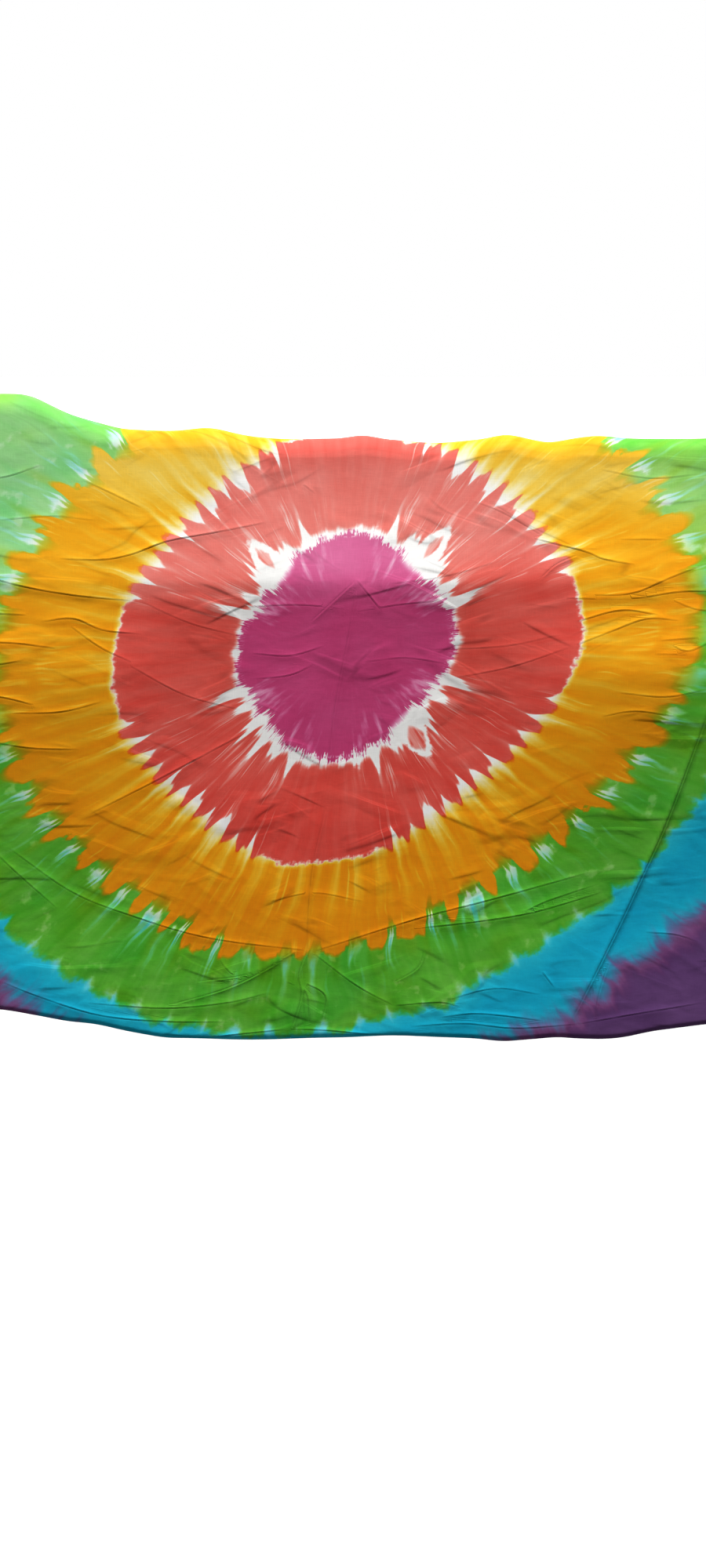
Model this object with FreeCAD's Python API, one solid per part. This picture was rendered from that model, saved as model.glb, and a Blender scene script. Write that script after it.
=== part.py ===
import FreeCAD, Part
import math
import os

# A thin cotton cloth, tie-dyed in rings, draped over a rail or a slim backrest: a short drop behind,
# a long drop in front, and the front's lower end tucked under. Millimetres, +Z up, +X to the right
# and -Y to the front. The origin is the highest point of the underside of the ridge, on the
# cloth's middle line, where the cloth sits on what holds it.
#
# A cross-section runs, from back to front: back panel, back hinge line, ridge, front band, front
# hinge line, front panel, tuck. Cloth bends anywhere; here each drop turns about one straight line.

# ---- the flat cloth ----
CLOTH_WIDTH = 1524.0
CLOTH_LENGTH = 1143.0
CLOTH_THICKNESS = 1.2  # the rumpled cloth's own space; a single layer of the weave is about 0.3
HEM_WIDTH = 14.0
HEM_THICKNESS = 2.4  # the edge is turned twice towards the inside
STITCH_FROM_EDGE = 11.5
THREAD_WIDTH = 0.8
THREAD_HEIGHT = 0.4

# ---- how it hangs ----
SADDLE_RADIUS = 20.0  # of the ridge's underside
HINGE_GAP = 0.8  # between the solids of two bodies along a hinge line
FRONT_HINGE_Y = -57.0  # the underside at the bend between the front band and the front panel
FRONT_HINGE_Z = -162.0
FRONT_LEAN = 4.0  # degrees that the front panel leans out from upright
FRONT_LENGTH = 590.0
BACK_HINGE_Z = -26.0
TUCK_RADIUS = 12.0
TUCK_FALL = 6.0  # degrees that the tucked end slopes down, going back
TUCK_RUN = 49.5

# Heights that the support adds to the ridge, and by which the lower fold is drawn up: (x, height).
RIDGE_RISE = [(-762.0, 52.0), (-378.0, 52.0), (-330.0, 28.0), (-270.0, 11.0), (0.0, 0.0), (762.0, 0.0)]
LOWER_RISE = [(-762.0, 48.0), (-456.0, 42.0), (-240.0, 0.0), (330.0, 0.0), (470.0, 21.0), (762.0, 30.0)]
LOWER_LEVEL = (-240.0, 330.0)  # the stretch of the lower fold that isn't drawn up

# ---- worked out from those ----
HALF_WIDTH = CLOTH_WIDTH / 2
PANEL_HALF = HALF_WIDTH - HEM_WIDTH
HEM_INSIDE = CLOTH_THICKNESS - HEM_THICKNESS  # how far a hem stands in from the underside
STITCH_HALF = HALF_WIDTH - STITCH_FROM_EDGE
LEAN = math.radians(FRONT_LEAN)
DROP_DIRECTION = (-math.sin(LEAN), -math.cos(LEAN))
DROP_OUTWARD = (-math.cos(LEAN), math.sin(LEAN))
TUCK_TURN = math.radians(90.0 + FRONT_LEAN - TUCK_FALL)
MIDDLE = CLOTH_THICKNESS / 2
RIDGE_QUARTER = (SADDLE_RADIUS + MIDDLE) * math.pi / 2
TUCK_LENGTH = (TUCK_RADIUS + MIDDLE) * TUCK_TURN + TUCK_RUN


def rise(table, x):
    """The height at x on a line through the points of a rise table."""
    for (xa, ha), (xb, hb) in zip(table, table[1:]):
        if x <= xb:
            return ha + (hb - ha) * (x - xa) / (xb - xa)
    return table[-1][1]


def band_slope(x):
    """The angle from upright at which the front band leaves the ridge, tangent to its round."""
    across = -FRONT_HINGE_Y
    down = rise(RIDGE_RISE, x) - SADDLE_RADIUS - FRONT_HINGE_Z
    return math.acos(SADDLE_RADIUS / math.hypot(across, down)) - math.atan2(down, across)


def band_length(x):
    """From the front hinge line up to where the band meets the ridge's round."""
    across = -FRONT_HINGE_Y
    down = rise(RIDGE_RISE, x) - SADDLE_RADIUS - FRONT_HINGE_Z
    return math.sqrt(across**2 + down**2 - SADDLE_RADIUS**2)


BACK_LENGTH = CLOTH_LENGTH - (
    RIDGE_QUARTER
    + (SADDLE_RADIUS + MIDDLE) * (math.pi / 2 - band_slope(0.0))
    + band_length(0.0)
    + FRONT_LENGTH
    + TUCK_LENGTH
)
BACK_BOTTOM_Z = -SADDLE_RADIUS - BACK_LENGTH


# ---- points of the cross-section at x, off millimetres out from the underside ----
def ridge_point(x, angle, off):
    """On the ridge's round: angle is 0 at the top and positive towards the front."""
    r = SADDLE_RADIUS + off
    z = rise(RIDGE_RISE, x) - SADDLE_RADIUS
    return FreeCAD.Vector(x, -r * math.sin(angle), z + r * math.cos(angle))


def band_point(x, up, off):
    """On the front band, up millimetres along it from the front hinge line."""
    a = band_slope(x)
    y = FRONT_HINGE_Y + up * math.sin(a) - off * math.cos(a)
    z = FRONT_HINGE_Z + up * math.cos(a) + off * math.sin(a)
    return FreeCAD.Vector(x, y, z)


def front_point(x, down, off):
    """On the front panel, down millimetres along it from the front hinge line."""
    y = FRONT_HINGE_Y + down * DROP_DIRECTION[0] + off * DROP_OUTWARD[0]
    z = FRONT_HINGE_Z + down * DROP_DIRECTION[1] + off * DROP_OUTWARD[1]
    return FreeCAD.Vector(x, y, z)


def tuck_point(x, turn, run, off):
    """On the tuck: turn radians round its bend, then run millimetres along its straight end."""
    start = front_point(x, front_length(x), -TUCK_RADIUS)
    angle = turn - LEAN
    outward = (-math.cos(angle), -math.sin(angle))
    along = (math.sin(angle), -math.cos(angle))
    r = TUCK_RADIUS + off
    y = start.y + r * outward[0] + run * along[0]
    z = start.z + r * outward[1] + run * along[1]
    return FreeCAD.Vector(x, y, z)


def back_point(x, z, off):
    return FreeCAD.Vector(x, SADDLE_RADIUS + off, z)


def front_length(x):
    return FRONT_LENGTH - rise(LOWER_RISE, x)


# ---- closed sections ----
def polygon(*points):
    return Part.makePolygon(list(points) + [points[0]])


def section(edges):
    return Part.Wire([e.toShape() for e in edges])


def ridge_section(x, inside, outside):
    front = math.pi / 2 - band_slope(x)
    back = -math.pi / 2
    foot = BACK_HINGE_Z + HINGE_GAP / 2

    def round_edge(off):
        ends = [ridge_point(x, angle, off) for angle in (front, (front + back) / 2, back)]
        return Part.Arc(*ends)

    return section(
        [
            round_edge(inside),
            Part.LineSegment(ridge_point(x, back, inside), back_point(x, foot, inside)),
            Part.LineSegment(back_point(x, foot, inside), back_point(x, foot, outside)),
            Part.LineSegment(back_point(x, foot, outside), ridge_point(x, back, outside)),
            round_edge(outside),
            Part.LineSegment(ridge_point(x, front, outside), ridge_point(x, front, inside)),
        ]
    )


def band_section(x, inside, outside):
    low = HINGE_GAP / 2
    high = band_length(x)
    return polygon(
        band_point(x, low, inside),
        band_point(x, high, inside),
        band_point(x, high, outside),
        band_point(x, low, outside),
    )


def front_section(x, inside, outside):
    low = HINGE_GAP / 2
    high = front_length(x)
    return polygon(
        front_point(x, low, inside),
        front_point(x, high, inside),
        front_point(x, high, outside),
        front_point(x, low, outside),
    )


def tuck_section(x, inside, outside, shorter=HEM_WIDTH):
    """The bend and the straight end, which stops short of the end hem."""

    def bend(off):
        turns = (0.0, TUCK_TURN / 2, TUCK_TURN)
        return Part.Arc(*[tuck_point(x, turn, 0.0, off) for turn in turns])

    def corner(run, off):
        return tuck_point(x, TUCK_TURN, run, off)

    run = TUCK_RUN - shorter
    return section(
        [
            bend(inside),
            Part.LineSegment(corner(0.0, inside), corner(run, inside)),
            Part.LineSegment(corner(run, inside), corner(run, outside)),
            Part.LineSegment(corner(run, outside), corner(0.0, outside)),
            bend(outside),
            Part.LineSegment(tuck_point(x, 0.0, 0.0, outside), tuck_point(x, 0.0, 0.0, inside)),
        ]
    )


def whole_tuck_section(x, inside, outside):
    return tuck_section(x, inside, outside, shorter=0.0)


def tuck_strip_section(near, far):
    """A strip across the tuck's straight end, between two distances from its edge."""

    def strip(x, inside, outside):
        ends = (TUCK_RUN - near, TUCK_RUN - far)
        return polygon(
            tuck_point(x, TUCK_TURN, ends[0], inside),
            tuck_point(x, TUCK_TURN, ends[1], inside),
            tuck_point(x, TUCK_TURN, ends[1], outside),
            tuck_point(x, TUCK_TURN, ends[0], outside),
        )

    return strip


def back_strip_section(near, far):
    """A strip of the back panel: from far up to its top edge if near is None."""

    def strip(x, inside, outside):
        bottom = BACK_BOTTOM_Z + rise(RIDGE_RISE, x)
        top = BACK_HINGE_Z - HINGE_GAP / 2 if near is None else bottom + near
        return polygon(
            back_point(x, top, inside),
            back_point(x, bottom + far, inside),
            back_point(x, bottom + far, outside),
            back_point(x, top, outside),
        )

    return strip


# ---- solids ----
def stations(x0, x1):
    """x0, x1 and every bend of the rise tables between them."""
    bends = {x for table in (RIDGE_RISE, LOWER_RISE) for x, _ in table}
    return [x0] + sorted(x for x in bends if x0 + 0.01 < x < x1 - 0.01) + [x1]


def sheet(make_section, x0, x1, inside=0.0, outside=CLOTH_THICKNESS):
    """A solid through the sections at each station from x0 to x1."""
    wires = [make_section(x, inside, outside) for x in stations(x0, x1)]
    solid = Part.makeLoft(wires, True, True)
    if solid.Volume < 0:
        solid.reverse()
    return solid


def panel(make_section):
    return sheet(make_section, -PANEL_HALF, PANEL_HALF)


def tuck_lengths(make_section, inside=0.0):
    """Three lengths side by side, divided where the lower fold is drawn up at each end."""
    cuts = (-PANEL_HALF, LOWER_LEVEL[0], LOWER_LEVEL[1], PANEL_HALF)
    return Part.makeCompound([sheet(make_section, a, b, inside) for a, b in zip(cuts, cuts[1:])])


def side_hem(make_section, side):
    ends = sorted((side * PANEL_HALF, side * HALF_WIDTH))
    return sheet(make_section, *ends, inside=HEM_INSIDE)


def side_stitches(make_section, side):
    """The sewing thread on the outside of a side hem."""
    ends = sorted((side * STITCH_HALF, side * (STITCH_HALF + THREAD_WIDTH)))
    return sheet(make_section, *ends, CLOTH_THICKNESS, CLOTH_THICKNESS + THREAD_HEIGHT)


def end_stitches(make_section):
    outside = CLOTH_THICKNESS + THREAD_HEIGHT
    return sheet(make_section, -PANEL_HALF, PANEL_HALF, CLOTH_THICKNESS, outside)


# ---- nodes ----
SIDES = {"left": -1, "right": 1}
THREAD_SPAN = (STITCH_FROM_EDGE - THREAD_WIDTH, STITCH_FROM_EDGE)


def ridge_nodes():
    nodes = {"ridge_panel": panel(ridge_section), "front_band": panel(band_section)}
    for name, side in SIDES.items():
        nodes[f"ridge_{name}_hem"] = side_hem(ridge_section, side)
        nodes[f"front_band_{name}_hem"] = side_hem(band_section, side)
        threads = [side_stitches(make, side) for make in (ridge_section, band_section)]
        nodes[f"ridge_{name}_stitching"] = Part.makeCompound(threads)
    return nodes


def front_nodes():
    nodes = {"front_panel": panel(front_section), "tuck_panel": tuck_lengths(tuck_section)}
    for name, side in SIDES.items():
        nodes[f"front_{name}_hem"] = side_hem(front_section, side)
        nodes[f"tuck_{name}_hem"] = side_hem(whole_tuck_section, side)
        threads = [side_stitches(make, side) for make in (front_section, whole_tuck_section)]
        nodes[f"front_{name}_stitching"] = Part.makeCompound(threads)
    nodes["tuck_end_hem"] = tuck_lengths(tuck_strip_section(0.0, HEM_WIDTH), HEM_INSIDE)
    nodes["tuck_end_stitching"] = end_stitches(tuck_strip_section(*THREAD_SPAN))
    return nodes


def back_nodes():
    nodes = {"back_panel": panel(back_strip_section(None, HEM_WIDTH))}
    for name, side in SIDES.items():
        nodes[f"back_{name}_hem"] = side_hem(back_strip_section(None, 0.0), side)
        nodes[f"back_{name}_stitching"] = side_stitches(back_strip_section(None, 0.0), side)
    nodes["back_end_hem"] = sheet(back_strip_section(HEM_WIDTH, 0.0), -PANEL_HALF, PANEL_HALF, HEM_INSIDE)
    nodes["back_end_stitching"] = end_stitches(back_strip_section(THREAD_SPAN[1], THREAD_SPAN[0]))
    return nodes


os.makedirs("parts", exist_ok=True)
for nodes in (ridge_nodes(), front_nodes(), back_nodes()):
    for name, shape in nodes.items():
        shape.exportStep(f"parts/{name}.step")
        print(f"{name}: {len(shape.Solids)} solid, {shape.Volume / 1000:.1f} cm3, valid {shape.isValid()}")
print(f"back drop {BACK_LENGTH + RIDGE_QUARTER:.1f} mm from the ridge, bottom at z {BACK_BOTTOM_Z:.1f}")
print(f"front band {band_length(0.0):.1f} mm, slope {math.degrees(band_slope(0.0)):.2f} degrees")
print(f"tuck {TUCK_LENGTH:.1f} mm")
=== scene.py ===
import math
from functools import partialmethod
import bmesh
import bpy
import numpy as np
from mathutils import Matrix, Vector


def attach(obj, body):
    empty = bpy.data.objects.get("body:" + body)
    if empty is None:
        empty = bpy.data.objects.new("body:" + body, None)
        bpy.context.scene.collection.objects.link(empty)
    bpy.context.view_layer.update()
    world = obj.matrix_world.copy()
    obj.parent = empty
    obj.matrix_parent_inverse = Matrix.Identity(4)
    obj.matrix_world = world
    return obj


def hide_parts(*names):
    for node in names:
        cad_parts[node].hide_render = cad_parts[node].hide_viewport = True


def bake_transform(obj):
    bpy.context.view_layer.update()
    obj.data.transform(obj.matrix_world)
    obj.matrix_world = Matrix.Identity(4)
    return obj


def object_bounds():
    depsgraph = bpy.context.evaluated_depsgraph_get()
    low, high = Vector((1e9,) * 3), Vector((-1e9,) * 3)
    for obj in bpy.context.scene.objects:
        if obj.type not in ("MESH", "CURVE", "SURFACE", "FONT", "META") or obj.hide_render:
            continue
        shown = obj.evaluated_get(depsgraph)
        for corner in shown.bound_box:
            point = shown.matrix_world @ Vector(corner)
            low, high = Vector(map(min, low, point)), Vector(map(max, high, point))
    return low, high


# A thin cotton cloth, tie-dyed in rings, draped over a support that isn't shown. Metres, +Z up,
# +X to the right and -Y to the front, as in part.py. A place on the flat cloth is (x, v): x to the
# right of its middle line, and v up from the middle of the dyed rings.

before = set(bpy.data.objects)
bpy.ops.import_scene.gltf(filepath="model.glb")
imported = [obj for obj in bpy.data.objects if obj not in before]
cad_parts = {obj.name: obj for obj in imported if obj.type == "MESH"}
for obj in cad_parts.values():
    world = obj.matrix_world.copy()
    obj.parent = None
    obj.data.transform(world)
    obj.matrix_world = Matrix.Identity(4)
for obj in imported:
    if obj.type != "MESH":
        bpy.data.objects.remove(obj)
CAD_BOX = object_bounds()
MM = 0.001  # the tables of small shapes are in millimetres

# ==== sizes repeated from part.py ====
HALF_WIDTH = 0.762
BACK_LENGTH = 0.2729  # from the back end of the ridge's round down to the back hem
MIDDLE = 0.0006  # the cloth's own surface is the middle of the CAD solid's thickness
SADDLE = 0.020 + MIDDLE
HINGE_Y = -0.057
HINGE_Z = -0.162
LEAN = math.radians(4.0)
FRONT_LENGTH = 0.590
TUCK_ROUND = 0.012 + MIDDLE
TUCK_TURN = math.radians(88.0)
TUCK_RUN = 0.0495
RIDGE_RISE = [(-0.762, 0.052), (-0.378, 0.052), (-0.33, 0.028), (-0.27, 0.011), (0.0, 0.0), (0.762, 0.0)]
LOWER_RISE = [(-0.762, 0.048), (-0.456, 0.042), (-0.24, 0.0), (0.33, 0.0), (0.47, 0.021), (0.762, 0.030)]
RINGS_BELOW_HINGE = 0.078  # the middle of the rings, down the cloth from the front hinge line

# ==== camera and light, from the photo ====
CAMERA_PLACE = (0.00665, -1.7644, 0.2025)
CAMERA_DOWN = math.radians(20.0)
CAMERA_LENS = 33.158  # in millimetres, as the sensor's width is
CAMERA_SENSOR = 36.0
KEY_ELEVATION = math.radians(80.5)
KEY_STRENGTH = 6.9
KEY_SOFTNESS = 14.0  # the width of the light as seen from the cloth, in degrees
BACK_ELEVATION = math.radians(25.0)
BACK_STRENGTH = 1.8
BACK_SOFTNESS = 30.0
ROOM_ABOVE = 0.12
ROOM_BELOW = 0.22
FLOOR_DROP = 0.06  # below the CAD box
FLOOR_HALF = 12.0
FLOOR_GLOW = 0.95


# ==== the draped shape ====
def soft_table(table, x, blur=0.014):
    """The height at x on a line through the table's points, with its corners rounded."""
    spread = np.linspace(-2.0, 2.0, 9)
    weights = np.exp(-(spread**2))
    places, heights = zip(*table)
    total = sum(w * np.interp(x + blur * s, places, heights) for s, w in zip(spread, weights))
    return total / weights.sum()


# Small humps and dips along the ridge and the lower fold: (x, height, width).
RIDGE_BUMPS = [
    (-165, 5.5, 30), (-85, -3, 50), (18, 4, 22), (105, -5, 45), (190, 4.5, 22), (242, -4, 22),
    (300, 3, 25), (-600, -6, 70), (560, 5, 80),
]
LOWER_BUMPS = [
    (-330, 3, 30), (-120, -2, 60), (60, 3, 50), (205, -4, 30), (275, 2, 20), (360, -3, 30),
    (620, 6, 50), (-640, -5, 60),
]


def bumps(table, x):
    return MM * sum(height * np.exp(-(((x / MM - place) / width) ** 2)) for place, height, width in table)


def ridge_rise(x):
    return soft_table(RIDGE_RISE, x) + bumps(RIDGE_BUMPS, x)


def lower_rise(x):
    return soft_table(LOWER_RISE, x) + bumps(LOWER_BUMPS, x)


def band_slope(x):
    """How far from upright the front band leans, so that it meets the ridge's round smoothly."""
    down = ridge_rise(x) - SADDLE - HINGE_Z
    return np.arccos(SADDLE / np.hypot(-HINGE_Y, down)) - np.arctan2(down, -HINGE_Y)


def band_length(x):
    down = ridge_rise(x) - SADDLE - HINGE_Z
    return np.sqrt(HINGE_Y**2 + down**2 - SADDLE**2)


def front_length(x):
    return FRONT_LENGTH - lower_rise(x)


def ridge_line(x):
    """Distance down the cloth of the ridge's top line; distances start at the front hinge line."""
    return -band_length(x) - SADDLE * (math.pi / 2 - band_slope(x))


def back_hem_line(x):
    return ridge_line(x) - SADDLE * math.pi / 2 - BACK_LENGTH


def tuck_hem_line(x):
    return front_length(x) + TUCK_ROUND * TUCK_TURN + TUCK_RUN


def base_section(x, s):
    """Points (y, z) of the smooth cross-section, and the angle of its outward side, s down the cloth."""
    slope = band_slope(x)
    band = band_length(x)
    centre_z = ridge_rise(x) - SADDLE
    front = front_length(x)
    # the band and the front panel, with a rounded bend at the hinge line
    bend = 0.007
    below = bend * np.logaddexp(0.0, s / bend)
    above = below - s
    y_drop = HINGE_Y - MIDDLE + above * np.sin(slope) - below * math.sin(LEAN)
    z_drop = HINGE_Z + above * np.cos(slope) - below * math.cos(LEAN)
    share = 1 / (1 + np.exp(-s / bend))
    side_drop = -slope + (slope - LEAN) * share
    # the ridge's round, and the back below it
    turn = (math.pi / 2 - slope) - (-s - band) / SADDLE
    y_ridge = -SADDLE * np.sin(turn)
    z_ridge = centre_z + SADDLE * np.cos(turn)
    past = -turn - math.pi / 2
    # the bend at the foot, and the tuck behind it
    foot_y = HINGE_Y - front * math.sin(LEAN) + (TUCK_ROUND - MIDDLE) * math.cos(LEAN)
    foot_z = HINGE_Z - front * math.cos(LEAN) - (TUCK_ROUND - MIDDLE) * math.sin(LEAN)
    foot_turn = np.clip((s - front) / TUCK_ROUND, 0.0, TUCK_TURN)
    foot_run = np.maximum(s - front - TUCK_ROUND * TUCK_TURN, 0.0)
    foot_side = foot_turn - LEAN
    y_foot = foot_y - TUCK_ROUND * np.cos(foot_side) + foot_run * np.sin(foot_side)
    z_foot = foot_z - TUCK_ROUND * np.sin(foot_side) - foot_run * np.cos(foot_side)

    zones = [past > 0, s < -band, s < front]
    y = np.select(zones, [np.full_like(y_ridge, SADDLE), y_ridge, y_drop], y_foot)
    z = np.select(zones, [centre_z - past * SADDLE, z_ridge, z_drop], z_foot)
    side = np.select(zones, [np.full_like(turn, -math.pi), turn - math.pi / 2, side_drop], foot_side)
    return y, z, side


def gradient_noise(a, b, seed):
    """Smooth noise, about -1 to 1, that changes about once for each whole number of a and of b."""
    angles = np.random.default_rng(seed).uniform(0, 2 * math.pi, (97, 97))
    low_a = np.floor(a).astype(int)
    low_b = np.floor(b).astype(int)
    in_a = a - low_a
    in_b = b - low_b

    def corner(da, db):
        angle = angles[(low_a + da) % 97, (low_b + db) % 97]
        return np.cos(angle) * (in_a - da) + np.sin(angle) * (in_b - db)

    ease_a = in_a**3 * (in_a * (in_a * 6 - 15) + 10)
    ease_b = in_b**3 * (in_b * (in_b * 6 - 15) + 10)
    low = corner(0, 0) + (corner(1, 0) - corner(0, 0)) * ease_a
    high = corner(0, 1) + (corner(1, 1) - corner(0, 1)) * ease_a
    return 1.5 * (low + (high - low) * ease_b)


def bell(x, v, place, reach):
    """1 at a place on the cloth, falling smoothly to 0 past reach = (across, up)."""
    return np.exp(-(((x - place[0]) / reach[0]) ** 2) - (((v - place[1]) / reach[1]) ** 2))


# Groups of tension wrinkles: place, reach, angle of the wrinkles in degrees, spacing, height, seed.
WRINKLES = [
    ((-400, 20), (150, 100), 1, 24, 2.2, 11),
    ((360, 40), (110, 90), 9, 26, 2.4, 12),
    ((-620, -20), (160, 140), -6, 30, 3, 13),
    ((620, -20), (160, 160), 14, 30, 3, 14),
    ((-200, 0), (120, 90), -18, 30, 1.2, 15),
    ((180, -20), (120, 90), 12, 30, 1.2, 16),
    ((0, 20), (130, 80), 4, 22, 1, 17),
    ((-300, -470), (250, 50), 3, 16, 2.2, 18),
    ((150, -490), (300, 50), 4, 17, 2.2, 19),
    ((-250, -300), (250, 120), -22, 34, 1.4, 20),
    ((220, -330), (220, 100), 14, 34, 1.4, 21),
    ((100, 200), (300, 60), -24, 36, 1.1, 22),
    ((-250, 200), (200, 60), -30, 36, 1.1, 23),
    ((-620, -380), (160, 140), 20, 36, 3, 24),
    ((620, -380), (150, 160), -62, 36, 3, 25),
    ((0, 450), (800, 120), 78, 60, 2.4, 26),
    ((-350, 360), (250, 100), 25, 40, 1.8, 27),
    ((350, 380), (250, 100), -20, 40, 1.8, 28),
]


def turned(x, v, degrees):
    """(x, v) measured along and across a direction; works for arrays and for Fields."""
    cos = math.cos(math.radians(degrees))
    sin = math.sin(math.radians(degrees))
    return x * cos + v * sin, v * cos - x * sin


def wrinkle_height(x, v):
    height = np.zeros_like(x)
    for place, reach, degrees, spacing, crest, seed in WRINKLES:
        along, across = turned(x / MM, v / MM, degrees)
        along = along / (spacing * 5)
        across = across / spacing
        across = across + 0.9 * gradient_noise(along * 1.3, across * 0.35, seed + 40)
        wave = gradient_noise(along, across, seed)
        ridged = np.clip(1 - 2.6 * np.abs(wave), 0, 1) ** 2
        # in the photo's view these stay faint, because the single creases below do most of the work
        share = 0.15 if abs(place[0]) < 500 else 0.45
        swell = share * crest * MM * bell(x / MM, v / MM, place, reach)
        height += swell * (ridged - 0.2 + 0.15 * wave)
    return height


# Creases read from the photo, in millimetres: points (x, v), height, width, and lean, which is how much
# steeper the side to the left of the crease's direction is than the side to its right.
CREASES = [
    # down the middle
    ([(10, 80), (3, 25), (-15, -70), (-27, -170)], 1.6, 7, 0.0),
    ([(-27, -200), (-45, -285), (-52, -370), (-50, -410)], 2.6, 8, 0.5),
    ([(-50, -390), (-64, -430), (-61, -460), (-75, -510)], 3.4, 8, 0.5),
    ([(10, 81), (-45, 30)], 2, 10, 0.0),
    ([(10, 81), (44, 39)], 2.2, 10, 0.0),
    # under the band, left and right
    ([(-345, 105), (-293, 104), (-256, 111), (-214, 126), (-153, 137), (-97, 148)], 4.2, 10, -0.7),
    ([(220, 130), (283, 114), (306, 105), (345, 98)], 4, 9, -0.7),
    ([(283, 114), (250, 100), (230, 82)], 3, 8, 0.6),
    # left side
    ([(-460, 94), (-400, 75), (-330, 62), (-260, 55)], 3.4, 8, -0.6),
    ([(-470, 45), (-420, 40), (-385, 38)], 3, 6, -0.5),
    ([(-370, 30), (-330, 34), (-295, 20), (-250, 15)], 3.2, 8, -0.6),
    ([(-470, 3), (-410, 5), (-350, -2)], 3, 6, -0.4),
    ([(-340, 30), (-300, 0), (-260, -20)], 2.2, 8, 0.5),
    ([(-470, -20), (-430, -22), (-390, -16)], 2.6, 6, -0.5),
    ([(-460, -58), (-420, -62), (-380, -72)], 3, 6, -0.5),
    ([(-410, -82), (-350, -80), (-300, -68)], 2.8, 9, 0.5),
    ([(-440, -118), (-390, -126), (-330, -128)], 2.6, 7, -0.5),
    ([(-250, 55), (-190, 28), (-130, 12)], 1.4, 14, -0.4),
    ([(-270, -20), (-200, -60), (-130, -80)], 1.8, 16, -0.4),
    # right side
    ([(280, 62), (340, 64), (385, 82), (430, 100)], 3.4, 8, 0.6),
    ([(260, 58), (340, 58), (400, 66), (460, 66)], 3, 7, -0.6),
    ([(275, 30), (330, 44), (385, 36)], 3.4, 8, 0.5),
    ([(275, 2), (320, 20), (360, 34), (400, 32)], 3.6, 8, 0.6),
    ([(385, 58), (420, 45), (470, 42)], 2.4, 12, 0.4),
    ([(380, 10), (410, -4), (450, 14)], 2.2, 10, -0.4),
    ([(375, 8), (425, 12)], 1.8, 4, 0.0),
    ([(370, -8), (430, -8)], 1.8, 5, 0.0),
    ([(330, -55), (385, -60), (430, -52)], 2, 8, 0.3),
    ([(310, -85), (350, -78), (400, -85)], 2.2, 12, 0.3),
    ([(50, 75), (120, 85), (190, 105)], 1.6, 10, 0.4),
    ([(100, -5), (190, 0), (260, 15)], 1.2, 12, 0.4),
    ([(130, -40), (200, -25), (270, 0)], 1.6, 14, 0.4),
    # the middle of the rings
    ([(-130, 47), (-60, 50), (0, 45)], 1.4, 9, 0.3),
    ([(11, 42), (60, 50), (110, 55)], 1.6, 9, 0.3),
    ([(-117, -9), (-70, -12), (-27, 0)], 1.8, 7, -0.4),
    ([(-113, -41), (-70, -36), (-41, -23)], 1.6, 8, -0.4),
    ([(20, -20), (70, -15), (120, -22)], 1.4, 8, 0.3),
    # upper right and left
    ([(147, 174), (184, 160), (241, 128)], 1.8, 10, 0.4),
    ([(-54, 194), (-40, 183)], 1.8, 4, 0.0),
    ([(-315, 198), (-278, 181), (-245, 165)], 2.2, 6, 0.5),
    ([(-420, 150), (-350, 155), (-300, 150)], 1.4, 8, 0.4),
    ([(-450, 205), (-410, 200), (-360, 215)], 1.8, 10, 0.4),
    ([(325, 128), (381, 128)], 1.8, 7, 0.3),
    ([(300, 210), (360, 200), (420, 205)], 1.6, 9, 0.3),
    # lower left
    ([(-324, -213), (-230, -165), (-119, -105)], 2.4, 7, 0.5),
    ([(-460, -245), (-420, -290), (-370, -340)], 2.2, 8, 0.4),
    # the smiles: long shallow folds that sag from the middle crease
    ([(-431, -254), (-355, -314), (-284, -346), (-185, -378), (-44, -398)], 2.6, 8, 0.6),
    ([(-100, -330), (-44, -318), (20, -330)], 1.6, 9, 0.4),
    ([(-44, -398), (90, -353), (196, -323), (308, -289)], 3.4, 7, 0.7),
    ([(77, -368), (157, -358), (237, -344), (323, -317)], 3.2, 7, 0.6),
    ([(117, -355), (207, -349), (256, -328), (320, -305)], 2.4, 6, -0.5),
    ([(-70, -400), (-150, -445), (-240, -475)], 3, 8, 0.5),
    ([(-60, -390), (-120, -425), (-200, -440)], 2.2, 7, -0.4),
    ([(-45, -400), (10, -445), (60, -475)], 2.4, 9, 0.4),
    ([(60, -475), (120, -470), (150, -478)], 2.2, 6, 0.4),
    ([(100, -390), (90, -420), (60, -440)], 2.2, 5, 0.3),
    ([(-160, -385), (-165, -410), (-140, -440)], 2, 6, 0.3),
    ([(-80, -440), (-55, -455), (-50, -500)], 3, 9, 0.4),
    ([(-60, -440), (-30, -460), (-35, -500)], 2.6, 8, -0.4),
    # lower right
    ([(337, -411), (325, -458), (322, -492)], 2.6, 6, -0.6),
    ([(250, -425), (266, -447)], 2.4, 4, 0.0),
    ([(380, -372), (420, -375), (450, -385)], 1.8, 7, 0.3),
    ([(120, -470), (190, -450), (250, -458)], 1.8, 8, 0.4),
    # layers pressed together just above the lower fold
    ([(-450, -440), (-400, -462), (-321, -488), (-240, -497), (-157, -497)], 3.4, 6, 0.7),
    ([(-340, -470), (-240, -478), (-160, -470), (-100, -455)], 2.6, 7, 0.5),
    ([(-240, -515), (-190, -520), (-147, -515), (-80, -508)], 3, 6, 0.6),
    ([(-81, -508), (-26, -510), (50, -518), (110, -516)], 3.4, 6, 0.6),
    ([(119, -492), (160, -486), (201, -488), (252, -495)], 3.4, 6, 0.6),
    ([(80, -505), (150, -500), (220, -506), (300, -500)], 2.8, 5, 0.5),
    ([(300, -500), (380, -485), (460, -470)], 2.6, 8, 0.5),
]
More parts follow.
